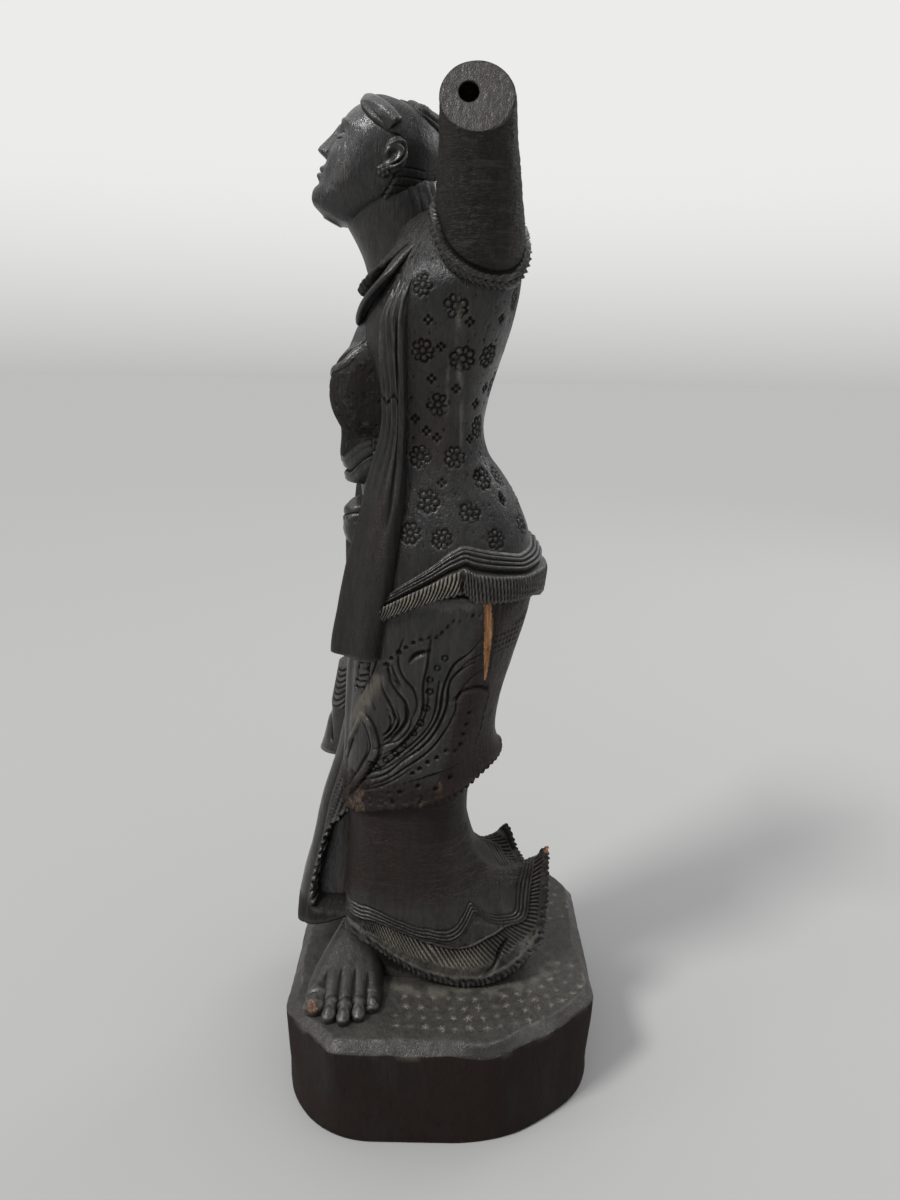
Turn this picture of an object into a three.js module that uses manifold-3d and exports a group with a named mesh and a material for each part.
// A carved wooden figure of a standing woman with her head tilted back, on a chamfered base cut from the same log.
// Both forearms are lost: each raised upper arm ends in a flat seat with a dowel socket.
// Millimetres, +Z up. She faces -Y and her left side is +X. The origin is the middle of the base's underside.
import * as THREE from "three";
import { mergeVertices } from "three/addons/utils/BufferGeometryUtils.js";
import Module from "manifold-3d";

const wasm = await Module();
wasm.setup();

// Driving dimensions.
const BASE_TOP = 63; // height of the ground she stands on
const BASE_CHAMFER = 5; // height of the bevel round the base's upper edge
const BASE_BEVEL = 6; // how far that bevel comes in
const HEAD_TILT = 27; // degrees that the head leans back
const ARM_RISE = 56; // degrees that the raised upper arms slope
const SEAT_RISE = 20; // degrees that the flat forearm seats look up
const SOCKET_RADIUS = 4.6;
const SOCKET_DEPTH = 11;

const TAU = 2 * Math.PI;
const rad = THREE.MathUtils.degToRad;
const { lerp, smoothstep } = THREE.MathUtils;
const at = (x, y, z) => new THREE.Vector3(x, y, z);

// A smooth curve through rows of [key, value, value, ...]: returns the values at a key.
function through(rows) {
  const keys = rows.map((row) => row[0]);
  const width = rows[0].length - 1;
  const spline = new THREE.CubicInterpolant(
    keys,
    rows.flatMap((row) => row.slice(1)),
    width,
    new Float64Array(width),
  );
  const [low, high] = [keys[0], keys[keys.length - 1]];
  return (key) => [...spline.evaluate(THREE.MathUtils.clamp(key, low, high))];
}

// Power that keeps the sign, for squared-off rounds.
const bent = (value, power) => Math.sign(value) * Math.abs(value) ** power;

// The body from the ankles to the shoulders, as sections at heights:
// front, back, half width, where it is widest, squareness of its front half and of its back half.
const bodyAt = through([
  [55, -57, 50, 46, 2, 3.0, 2.3],
  [90, -57, 36, 44, -4, 3.2, 2.3],
  [120, -57.5, 18, 41, -14, 3.4, 2.3],
  [150, -58, 12.5, 39.5, -20, 3.4, 2.3],
  [180, -58, 13.5, 40, -18, 3.2, 2.3],
  [211, -57.5, 20, 42, -14, 3.0, 2.3],
  [240, -56.5, 28, 44.5, -10, 2.8, 2.3],
  [267, -54.5, 36.5, 47.5, -5, 2.6, 2.3],
  [290, -52.5, 42.5, 49, 0, 2.5, 2.3],
  [310, -50.5, 45, 49.5, 2, 2.5, 2.3],
  [325, -50, 44.5, 48, 2, 2.4, 2.3],
  [344, -50, 38, 43, 1, 2.4, 2.3],
  [358, -51, 30, 39, 0, 2.4, 2.3],
  [372, -52, 20, 36, -2, 2.4, 2.4],
  [386, -53, 16.8, 35, -4, 2.4, 2.5],
  [400, -53, 18.5, 37.5, -4, 2.4, 2.5],
  [415, -52, 22.5, 42, -2, 2.4, 2.5],
  [431, -50, 27.5, 47, 0, 2.4, 2.5],
  [446, -47, 31.5, 51, 3, 2.4, 2.5],
  [460, -42, 34, 52, 5, 2.3, 2.4],
  [471, -37, 33.5, 47, 6, 2.2, 2.3],
  [480, -33, 30, 37, 5, 2.1, 2.2],
]);

// A point on the body at a height and a turn from her front towards her left, grown outwards.
function onBody(height, turn, grow = 0) {
  const [front, back, half, middle, squareFront, squareBack] = bodyAt(height);
  const [c, s] = [Math.cos(turn), Math.sin(turn)];
  const power = 2 / (c > 0 ? squareFront : squareBack);
  const reach = c > 0 ? middle - front : back - middle;
  return at((half + grow) * bent(s, power), middle - (reach + grow) * bent(c, power), height);
}

// A geometry as a closed solid, with only positions left on it.
function solid(geometry) {
  geometry.deleteAttribute("normal");
  geometry.deleteAttribute("uv");
  const merged = mergeVertices(geometry, 1e-3);
  return new wasm.Manifold(
    new wasm.Mesh({
      numProp: 3,
      vertProperties: merged.attributes.position.array,
      triVerts: new Uint32Array(merged.index.array),
    }),
  );
}

// A cylinder whose rings go to place(turn, level): turn is -pi..pi round it, from the front to the left,
// and level is 0 at its foot and 1 at its head.
function wrapped(around, along, place) {
  const geometry = new THREE.CylinderGeometry(1, 1, 1, around, along);
  const position = geometry.attributes.position;
  const turnOf = (step) => ((step > around / 2 ? step - around : step) / around) * TAU;
  const middleOf = (level) => {
    const middle = at(0, 0, 0);
    for (let step = 0; step < around; step++) middle.add(place(turnOf(step), level));
    return middle.divideScalar(around);
  };
  for (let k = 0; k < position.count; k++) {
    const [x, y, z] = [position.getX(k), position.getY(k), position.getZ(k)];
    const level = y + 0.5;
    const step = (Math.round((Math.atan2(x, z) / TAU) * around) + around) % around;
    const point = Math.hypot(x, z) < 0.5 ? middleOf(level) : place(turnOf(step), level);
    position.setXYZ(k, point.x, point.y, point.z);
  }
  return solid(geometry);
}

// A sphere whose points go to place(direction), where direction is a unit vector in her own axes.
function ball(around, along, place) {
  const geometry = new THREE.SphereGeometry(1, around, along);
  geometry.rotateX(Math.PI / 2);
  const position = geometry.attributes.position;
  for (let k = 0; k < position.count; k++) {
    const point = place(new THREE.Vector3().fromBufferAttribute(position, k));
    position.setXYZ(k, point.x, point.y, point.z);
  }
  return solid(geometry);
}

// A stretched ball at a centre, with its half sizes along three axes.
function lump(centre, halves, around = 12, along = 8, frame = new THREE.Matrix4()) {
  return ball(around, along, (d) =>
    at(d.x * halves[0], d.y * halves[1], d.z * halves[2])
      .applyMatrix4(frame)
      .add(centre),
  );
}

// A round cord along points, with a radius that follows a function of how far along it is.
function rope(points, radiusAt, around = 6, along = 12) {
  const curve = new THREE.CatmullRomCurve3(points);
  const frames = curve.computeFrenetFrames(along, false);
  return wrapped(around, along, (turn, level) => {
    const k = Math.round(level * along);
    const radius = radiusAt(level);
    return curve
      .getPointAt(level)
      .addScaledVector(frames.normals[k], radius * Math.cos(turn))
      .addScaledVector(frames.binormals[k], radius * Math.sin(turn));
  });
}

const mirrorX = (made) => made.mirror([1, 0, 0]);
const joined = (pieces) => pieces.reduce((sum, piece) => sum.add(piece));

// The base: an uneven octagon of a plan, with a bevel round its upper edge.
const BASE_CORNERS = [
  [-62, -90],
  [66, -90],
  [99, -60],
  [99, 28],
  [82, 60],
  [52, 90],
  [-64, 89],
  [-90, 72],
  [-98, 48],
  [-98, -58],
];
function base() {
  const levels = [
    [0, 0],
    [BASE_TOP - BASE_CHAMFER, 0],
    [BASE_TOP, BASE_BEVEL],
  ];
  const around = BASE_CORNERS.length;
  return wrapped(around, levels.length - 1, (turn, level) => {
    const [height, inset] = levels[Math.round(level * (levels.length - 1))];
    const corner = at(...BASE_CORNERS[(Math.round((turn / TAU) * around) + around) % around], 0);
    return corner.multiplyScalar(1 - inset / corner.length()).setZ(height);
  });
}

const TORSO_HEIGHTS = [57, 150, 178, 208, 290, 312, 330, 346, 362, 376, 392, 410, 428, 444, 459, 471, 480];
const torso = () =>
  wrapped(26, TORSO_HEIGHTS.length - 1, (turn, level) =>
    onBody(TORSO_HEIGHTS[Math.round(level * (TORSO_HEIGHTS.length - 1))], turn),
  );

// Two breasts under the bodice.
const breasts = () =>
  [-1, 1].map((side) => lump(at(side * 16.5, -42, 404), [18, 24, 27], 12, 7));

// The bodice: it hangs loose over the waist in a bowl with two rolled edges, higher at her sides.
// Each row is a height, its front, and its half width.
const bodiceAt = [
  [353, -46, 17],
  [356, -58, 25.5],
  [360, -60, 27],
  [362, -59, 26.5],
  [366, -61.5, 28.5],
  [382, -61.5, 30],
  [398, -62.5, 31],
  [414, -61, 31],
  [430, -55.5, 29],
  [442, -49, 26],
  [447, -42, 22],
];
const bodice = () =>
  wrapped(18, bodiceAt.length - 1, (turn, level) => {
    const [height, front, half] = bodiceAt[Math.round(level * (bodiceAt.length - 1))];
    const x = half * bent(Math.sin(turn), 0.8);
    const y = -26 + (26 + front) * bent(Math.cos(turn), 0.8);
    const lift = 17 * smoothstep(Math.abs(x), 15, 31) * smoothstep(-height, -400, -353);
    return at(x, Math.cos(turn) > 0 ? y : -24, height + lift);
  });

// Heights and reaches round her of a garment's edge, by degrees from her front.
const degreesFrom = (turn) => Math.abs(turn) / rad(1);
const jacketLine = through([
  [0, 280],
  [30, 287],
  [50, 302],
  [75, 318],
  [95, 327],
  [120, 322],
  [150, 321],
  [168, 322],
  [180, 327],
]);
const jacketEdge = through([
  [0, 268],
  [30, 275],
  [55, 285],
  [80, 292],
  [100, 298],
  [112, 296],
  [140, 299],
  [165, 295],
  [180, 290],
]);
const overskirtEdge = through([
  [0, 166],
  [30, 169],
  [60, 171],
  [90, 177],
  [120, 182],
  [145, 187],
  [165, 196],
  [180, 201],
]);
const overskirtFlare = through([
  [0, 1.5],
  [60, 2],
  [90, 2.5],
  [120, 3.5],
  [145, 7],
  [165, 12],
  [180, 13.5],
]);

// The jacket's flared hem: a fringed band that stands out from the hips, below a raised line.
function jacketHem() {
  const flareAt = (degrees) => 5.5 + 3 * smoothstep(degrees, 120, 175);
  const rings = [
    (line, edge) => [edge + 3, -4],
    (line, edge, flare) => [edge, flare * 0.55],
    (line, edge, flare) => [edge + 0.6, flare],
    (line, edge, flare) => [lerp(edge, line, 0.5), flare + 0.4],
    (line, edge, flare) => [lerp(edge, line, 0.8), flare * 0.55 + 0.8],
    (line) => [line + 1, 1.6],
    (line) => [line + 4, -3],
  ];
  return wrapped(32, rings.length - 1, (turn, level) => {
    const degrees = degreesFrom(turn);
    const ring = rings[Math.round(level * (rings.length - 1))];
    const [height, grow] = ring(jacketLine(degrees)[0], jacketEdge(degrees)[0], flareAt(degrees));
    return onBody(height, turn, grow);
  });
}

// The overskirt: a layer over the hips and thighs whose edge turns up at the back.
function overskirt() {
  const along = 7;
  return wrapped(32, along, (turn, level) => {
    const degrees = degreesFrom(turn);
    const [edge] = overskirtEdge(degrees);
    const [flare] = overskirtFlare(degrees);
    const ring = Math.round(level * along);
    if (ring === 0) return onBody(edge + 4, turn, -5);
    if (ring === 1) return onBody(edge - 1, turn, 1);
    if (ring === 2) return onBody(edge, turn, 2 + flare);
    const rise = (ring - 3) / (along - 3);
    const height = lerp(edge + 3.5, 302, rise ** 1.4);
    return onBody(height, turn, 2.6 + flare * (1 - rise ** 0.55) ** 2);
  });
}

// The hem of the skirt on the ground, by degrees from her front: it rises over the feet
// and turns up into two horns behind her.
const trainEdge = through([
  [-198, 18, 62, 138],
  [-180, -8, 54, 113],
  [-160, -28, 48, 111],
  [-142, -41, 39, 122],
  [-127, -49, 27, 84],
  [-100, -52, 8, 66],
  [-75, -48, -16, 72],
  [-52, -45, -38, 86],
  [-30, -35, -57, 92],
  [0, 0, -60, 94],
  [30, 35, -57.5, 93],
  [50, 46, -41, 88],
  [68, 48, -24, 77],
  [84, 49, -7, 69],
  [100, 50, 13, 65.5],
  [120, 47, 33, 68],
  [140, 41, 51, 79],
  [152, 28, 61, 90],
  [162, 18, 62, 138],
  [172, 4, 57, 117],
  [180, -8, 54, 113],
  [200, -28, 48, 111],
]);
const TRAIN_TOP = 152;
function train() {
  const under = 3;
  const over = 6;
  return wrapped(48, under + over, (turn, level) => {
    const degrees = turn / rad(1);
    const edge = at(...trainEdge(degrees));
    const hip = onBody(TRAIN_TOP, turn, 0.6);
    const ring = Math.round(level * (under + over));
    const inward = at(edge.x, edge.y + 6, 0).normalize();
    if (ring === 0) return at(edge.x * 0.84, edge.y * 0.84, BASE_TOP - 4);
    if (ring === 1) return at(edge.x * 0.87, edge.y * 0.87, lerp(BASE_TOP, edge.z, 0.5));
    if (ring === 2) return edge.clone().addScaledVector(inward, -3.5).add(at(0, 0, -1.5));
    const rise = (ring - under) / over;
    const hollow = lerp(0.32, 0.62, smoothstep(Math.abs(degrees), 100, 150));
    const waist = at(
      lerp(hip.x, edge.x, 0.25),
      lerp(hip.y, edge.y, 0.25),
      lerp(hip.z, BASE_TOP + 22, 0.55 + hollow * 0.3),
    );
    const curve = new THREE.QuadraticBezierCurve3(edge, waist, hip);
    return curve.getPoint(rise);
  });
}

// The tongue of cloth that hangs down her front and sweeps forward to a thick cut end.
const tongueFront = through([
  [0, -91.5],
  [0.16, -88],
  [0.34, -80.5],
  [0.52, -74.5],
  [0.7, -66],
  [0.85, -61],
  [1, -57],
]);
const TONGUE_FOOT = 87;
const TONGUE_HEAD = 236;
function frontTongue() {
  return wrapped(12, 7, (turn, level) => {
    const half = lerp(25, 13, level ** 0.8);
    const round = lerp(9, 6, level);
    const c = bent(Math.cos(turn), 0.6);
    const s = bent(Math.sin(turn), 0.6);
    const [front] = tongueFront(level);
    const y = lerp(-48, front + round * s * s, (c + 1) / 2);
    return at(3 + half * s, y, lerp(TONGUE_FOOT, TONGUE_HEAD, level) + (1 - level) * 0.35 * (y + 82));
  });
}

// The hollow between the tongue's toothed edge and the skirt, cut from her left.
function tongueHollow() {
  const outline = new THREE.Shape(
    [
      [-59, 158],
      [-66, 150],
      [-72, 132],
      [-77, 108],
      [-59.5, 101],
    ].map(([y, z]) => new THREE.Vector2(y, z)),
  );
  const hollow = new THREE.ExtrudeGeometry(outline, { depth: 40, bevelEnabled: false, steps: 1 });
  hollow.rotateX(Math.PI / 2);
  hollow.rotateZ(Math.PI / 2);
  hollow.translate(15, 0, 0);
  return solid(hollow);
}

// A folded flap on her right that stands forward of the overskirt, with a flat cut end.
function sideFlap() {
  return wrapped(10, 5, (turn, level) => {
    const c = bent(Math.cos(turn), 0.6);
    const s = bent(Math.sin(turn), 0.6);
    const front = lerp(-78.5, -66, level ** 0.8);
    const back = lerp(-60, -50, level);
    const y = lerp(back, front, (c + 1) / 2);
    return at(-17 + lerp(9, 6, level) * s, y, lerp(188, 250, level) - 6 * level * ((c + 1) / 2));
  });
}

// One end of the shawl: from her neck down beside the bodice and forward to a flat cut end on her thigh.
// Each row is a height, its front edge, its back edge and half its thickness.
const leftShawlAt = through([
  [264, 24, -63, 44, -38, 7.5],
  [290, 24, -59, 45.5, -34, 7],
  [320, 24.5, -53.5, 45.5, -30, 6.5],
  [350, 27, -46, 41.5, -26, 6],
  [380, 31, -43, 38.5, -25, 5.5],
  [405, 33, -42, 41, -25, 5.5],
  [430, 30, -43, 45, -25, 5.5],
  [450, 26, -42, 46, -23, 6],
  [466, 18, -39, 42, -17, 6.5],
  [480, 12, -32, 29, -9, 6.5],
]);
// Her right end hangs nearer the middle and further forward.
const rightShawlAt = through([
  [264, 17, -61, 44, -37, 7.5],
  [290, 15, -58, 45.5, -34, 7],
  [320, 14, -55.5, 45.5, -30, 6.5],
  [350, 15, -54, 41.5, -26, 6],
  [368, 20, -51, 38.5, -25, 5.5],
  [405, 33, -42, 41, -25, 5.5],
  [430, 30, -43, 45, -25, 5.5],
  [450, 26, -42, 46, -23, 6],
  [466, 18, -39, 42, -17, 6.5],
  [480, 12, -32, 29, -9, 6.5],
]);
function shawlEnd(shawlAt) {
  return wrapped(8, 10, (turn, level) => {
    const height = lerp(264, 480, level);
    const [frontX, frontY, backX, backY, thick] = shawlAt(height);
    const along = at(backX - frontX, backY - frontY, 0);
    const half = along.length() / 2;
    along.normalize();
    const outward = at(along.y, -along.x, 0);
    return at((frontX + backX) / 2, (frontY + backY) / 2, height)
      .addScaledVector(along, half * bent(Math.sin(turn), 0.6))
      .addScaledVector(outward, thick * bent(Math.cos(turn), 0.6));
  });
}

// The two rolled folds of the collar that cross her chest from the neck towards the middle.
const collarFolds = () => [
  rope([at(29, -10, 475), at(30, -27, 466), at(21, -42, 454), at(9, -48, 441)], (level) => 3.6 + 0.9 * level, 6, 5),
  rope([at(23, -24, 470), at(14, -37, 462), at(3, -42.5, 455)], () => 3.6, 6, 4),
];

// The waist knot between the shawl's ends, with the fringed end below it.
function waistKnot() {
  const fringe = wrapped(10, 3, (turn, level) => {
    const half = lerp(8.5, 4, level);
    return at(9 + half * Math.sin(turn), -54.5 - 4 * Math.cos(turn), lerp(300, 321, level));
  });
  return [lump(at(9, -50, 333), [14, 10, 15], 10, 7), fringe];
}

// Raised flame-shaped strands of the overskirt, on one side, as degrees from her front and heights.
function strands() {
  const strand = (rows, radius) =>
    rope(
      rows.map(([degrees, height]) => onBody(height, rad(degrees), 2.8)),
      (level) => radius * (0.35 + 0.65 * Math.sin(Math.PI * Math.min(1, level + 0.12))),
      4,
      6,
    );
  return [
    strand([[34, 192], [60, 188], [84, 204], [96, 232], [104, 256], [114, 276]], 3),
    strand([[38, 208], [62, 206], [78, 222], [88, 246], [92, 268], [86, 286]], 2.8),
    strand([[30, 258], [34, 236], [37, 212], [33, 190], [28, 172]], 3),
  ];
}

// A raised arm, with the armhole's welt round it and the flat seat where the forearm was dowelled on.
const SEAT = at(76, 7.5, 533);
const SHOULDER = at(34, 12, 471);
function arm() {
  const axis = at(Math.cos(rad(ARM_RISE)), 0, Math.sin(rad(ARM_RISE)));
  const seatNormal = at(Math.cos(rad(SEAT_RISE)), 0, Math.sin(rad(SEAT_RISE)));
  const across = at(Math.sin(rad(ARM_RISE)), 0, -Math.cos(rad(ARM_RISE)));
  const deep = at(20, 13, 452);
  const radiusAt = through([
    [0, 17, 17],
    [0.3, 22, 21.5],
    [0.6, 20, 18],
    [1, 16.6, 13.4],
  ]);
  const sleeve = wrapped(16, 3, (turn, level) => {
    const [wide, deepness] = radiusAt(level);
    const point = deep
      .clone()
      .lerp(SEAT, level)
      .addScaledVector(across, deepness * Math.cos(turn))
      .addScaledVector(at(0, 1, 0), wide * Math.sin(turn));
    if (level < 1) return point;
    const short = SEAT.clone().sub(point).dot(seatNormal) / axis.dot(seatNormal);
    return point.addScaledVector(axis, short);
  });
  const welt = new THREE.TorusGeometry(20.4, 2.8, 4, 18);
  welt.rotateY(Math.PI / 2 - rad(ARM_RISE));
  const weltCentre = SHOULDER.clone().addScaledVector(axis, 3);
  welt.translate(weltCentre.x, weltCentre.y, weltCentre.z);
  return sleeve.add(solid(welt));
}

// The dowel socket in a forearm seat, a little in front of the seat's middle.
const SOCKET_MOUTH = at(SEAT.x, 3.8, 535);
function socket() {
  const bit = new THREE.CylinderGeometry(SOCKET_RADIUS, SOCKET_RADIUS, SOCKET_DEPTH + 20, 24);
  bit.rotateZ(Math.PI / 2);
  bit.translate(SOCKET_MOUTH.x - SOCKET_DEPTH + (SOCKET_DEPTH + 20) / 2, SOCKET_MOUTH.y, SOCKET_MOUTH.z);
  return solid(bit);
}

// The head's own axes: side, forward and up, leaning back about its middle.
const HEAD = at(0, -41, 517.5);
const headFrame = new THREE.Matrix4().makeRotationX(-rad(HEAD_TILT)).setPosition(HEAD);
const inHead = (side, forward, up) => at(side, -forward, up).applyMatrix4(headFrame);

// The head as sections by height from the chin to the crown: front, back, half width and middle.
const headAt = through([
  [-36, 14, 4, 6, 9],
  [-33, 20.5, -2, 12, 8],
  [-28, 23, -8, 16.5, 5],
  [-20, 23.4, -16, 20.5, 2],
  [-10, 24, -22, 23, 0],
  [0, 24.4, -26, 24.5, -1],
  [8, 25.2, -27.5, 24.8, -1],
  [16, 23.6, -26.5, 24, -2],
  [22, 19.6, -23, 21.5, -2],
  [27, 13, -17.5, 17, -3],
  [30, 3, -10, 9, -4],
]);

// A soft bump: 1 at the middle of an ellipse and near 0 beyond it.
const bump = (side, up, middleSide, middleUp, halfSide, halfUp) =>
  Math.exp(-(((side - middleSide) / halfSide) ** 2) - ((up - middleUp) / halfUp) ** 2);

// How far the face stands forward of the plain head.
function faceRelief(side, up) {
  const s = Math.abs(side);
  const ridge = THREE.MathUtils.clamp((9 - up) / 15, 0, 1);
  const nose = up > -10.5 && up < 9 ? (0.8 + 5.8 * ridge) * Math.exp(-((s / (2.4 + 2.4 * ridge)) ** 2)) : 0;
  return (
    nose +
    2 * bump(s, up, 3.6, -7.8, 2.4, 2.6) -
    3 * bump(s, up, 9.5, 3.2, 6, 4.2) +
    2.6 * bump(s, up, 10.3, 1.6, 4.6, 3) +
    1 * bump(s, up, 10, 8.6, 8, 2.2) +
    2.6 * bump(s, up, 0, -15.2, 7, 1.9) +
    2.8 * bump(s, up, 0, -19, 5.5, 2) +
    1.4 * bump(s, up, 0, -28, 7, 5) +
    1.4 * bump(s, up, 13, -8, 7, 7)
  );
}

// The height of the hairline at a turn from the face, in degrees.
const hairline = through([
  [0, 20],
  [28, 19],
  [52, 13],
  [70, 6],
  [84, -3],
  [100, -16],
  [120, -28],
  [180, -34],
]);

function head() {
  const rows = [-36, -33, -28.5, -24, -20.5, -18.5, -16.8, -15, -12, -9.5, -6.5, -2, 2, 5.5, 9, 14, 19, 24, 28, 30];
  const skull = wrapped(24, rows.length - 1, (turn, level) => {
    const up = rows[Math.round(level * (rows.length - 1))];
    const packed = turn - 0.42 * Math.sin(turn);
    const [front, back, half, middle] = headAt(up);
    const [c, s] = [Math.cos(packed), Math.sin(packed)];
    const hair = 2.2 * smoothstep(up - hairline(degreesFrom(packed))[0], -1, 3);
    const reach = c > 0 ? front - middle : middle - back;
    const side = (half + hair) * bent(s, 0.95);
    const face = faceRelief(side, up) * smoothstep(c, 0.2, 0.6);
    return inHead(side, middle + (reach + hair) * bent(c, 0.9) + face, up + hair * smoothstep(up, 18, 28));
  });
  const ear = ball(6, 6, (d) => inHead(24 + 2.6 * d.x, -4 - d.y * 5.5 - d.z * 2, -1 + d.z * 9));
  const plug = ball(6, 4, (d) => inHead(24.5 + 2.6 * d.x, 0.5 - d.y * 3.4, -11 + d.z * 3.6));
  const roll = rope(
    [inHead(-2, 11, 24.5), inHead(9, 12, 22), inHead(17, 10, 17.5), inHead(22, 6, 11)],
    (level) => 6 - 2.4 * level,
    6,
    5,
  );
  const bun = lump(inHead(0, -12, 28), [15, 13, 6], 10, 6, new THREE.Matrix4().makeRotationX(-rad(HEAD_TILT)));
  const locks = [5, 15].map((side) =>
    rope(
      [inHead(side, -24 + side * 0.35, 2), inHead(side * 1.1, -25 + side * 0.3, -12), inHead(side, -17, -34)],
      () => 5,
      5,
      3,
    ),
  );
  const leftSide = [ear, plug, roll, ...locks];
  return joined([skull, bun, ...leftSide, ...leftSide.map(mirrorX)]);
}

// The neck leans forward from between the shoulders into the jaw, with the gathered hair behind it.
const neck = () =>
  wrapped(14, 3, (turn, level) => {
    const radius = lerp(22, 18, level ** 0.6);
    const [c, s] = [Math.cos(turn), Math.sin(turn)];
    const lean = lerp(-19, -40, level);
    const hair = c < 0 ? lerp(3, 14, level) * c : 0;
    return at(radius * s, lean - (radius + 1.5) * c - hair, lerp(446, 508, level));
  });

// A foot turned out to her left, with its five toes.
function foot() {
  const sole = BASE_TOP - 1;
  const shape = through([
    [-12, 14, 38],
    [16, 15.5, 33],
    [34, 18.5, 26],
    [50, 21.5, 18],
    [64, 22, 12],
    [71, 20, 8.5],
  ]);
  const instep = wrapped(12, 5, (turn, level) => {
    const x = lerp(-12, 71, level);
    const [half, high] = shape(x);
    const up = Math.cos(turn) > 0 ? high * bent(Math.cos(turn), 0.55) : 0;
    const y = lerp(-46, -56.5, smoothstep(level, 0, 0.8));
    return at(x, y - half * bent(Math.sin(turn), 0.9), sole + up);
  });
  const toes = [
    [77, -73, 6.6, 5.8],
    [82.5, -63.2, 4.8, 4.8],
    [84.5, -54.4, 4.6, 4.6],
    [81, -46, 4.4, 4.4],
    [73, -38.8, 4.4, 4.6],
  ].map(([tip, y, half, high]) => lump(at(tip - 13, y, sole + high), [14, half, high + 1.2], 6, 5));
  return joined([instep, ...toes]);
}

// The whole figure and its base, cut from one log.
function figure() {
  const leftSide = [...collarFolds(), ...strands(), arm(), foot()];
  const solids = [
    torso(),
    base(),
    train(),
    overskirt(),
    jacketHem(),
    ...breasts(),
    bodice(),
    ...waistKnot(),
    frontTongue(),
    sideFlap(),
    neck(),
    head(),
    shawlEnd(leftShawlAt),
    mirrorX(shawlEnd(rightShawlAt)),
    ...leftSide,
    ...leftSide.map(mirrorX),
  ];
  const cuts = [tongueHollow(), socket(), mirrorX(socket())];
  return cuts.reduce((rest, cutter) => rest.subtract(cutter), joined(solids));
}

// A three.js geometry of a solid, on a fine grid so that no two corners nearly coincide.
const GRID = 0.01;
function geometryOf(made) {
  const mesh = made.getMesh();
  const corners = [...mesh.triVerts].flatMap((vertex) =>
    [0, 1, 2].map((axis) => Math.round(mesh.vertProperties[vertex * mesh.numProp + axis] / GRID) * GRID),
  );
  const loose = new THREE.BufferGeometry();
  loose.setAttribute("position", new THREE.Float32BufferAttribute(corners, 3));
  const geometry = mergeVertices(loose, GRID / 10);
  const index = geometry.index.array;
  const kept = [];
  for (let k = 0; k < index.length; k += 3) {
    const [a, b, c] = index.slice(k, k + 3);
    if (a !== b && b !== c && c !== a) kept.push(a, b, c);
  }
  geometry.setIndex(kept);
  geometry.computeVertexNormals();
  return geometry;
}

const darkWood = new THREE.MeshStandardMaterial({ color: 0x2b2624, roughness: 0.6, metalness: 0 });
const figureMesh = new THREE.Mesh(geometryOf(figure()), darkWood);
figureMesh.name = "standing_figure";

const root = new THREE.Group();
root.add(figureMesh);
export default root;
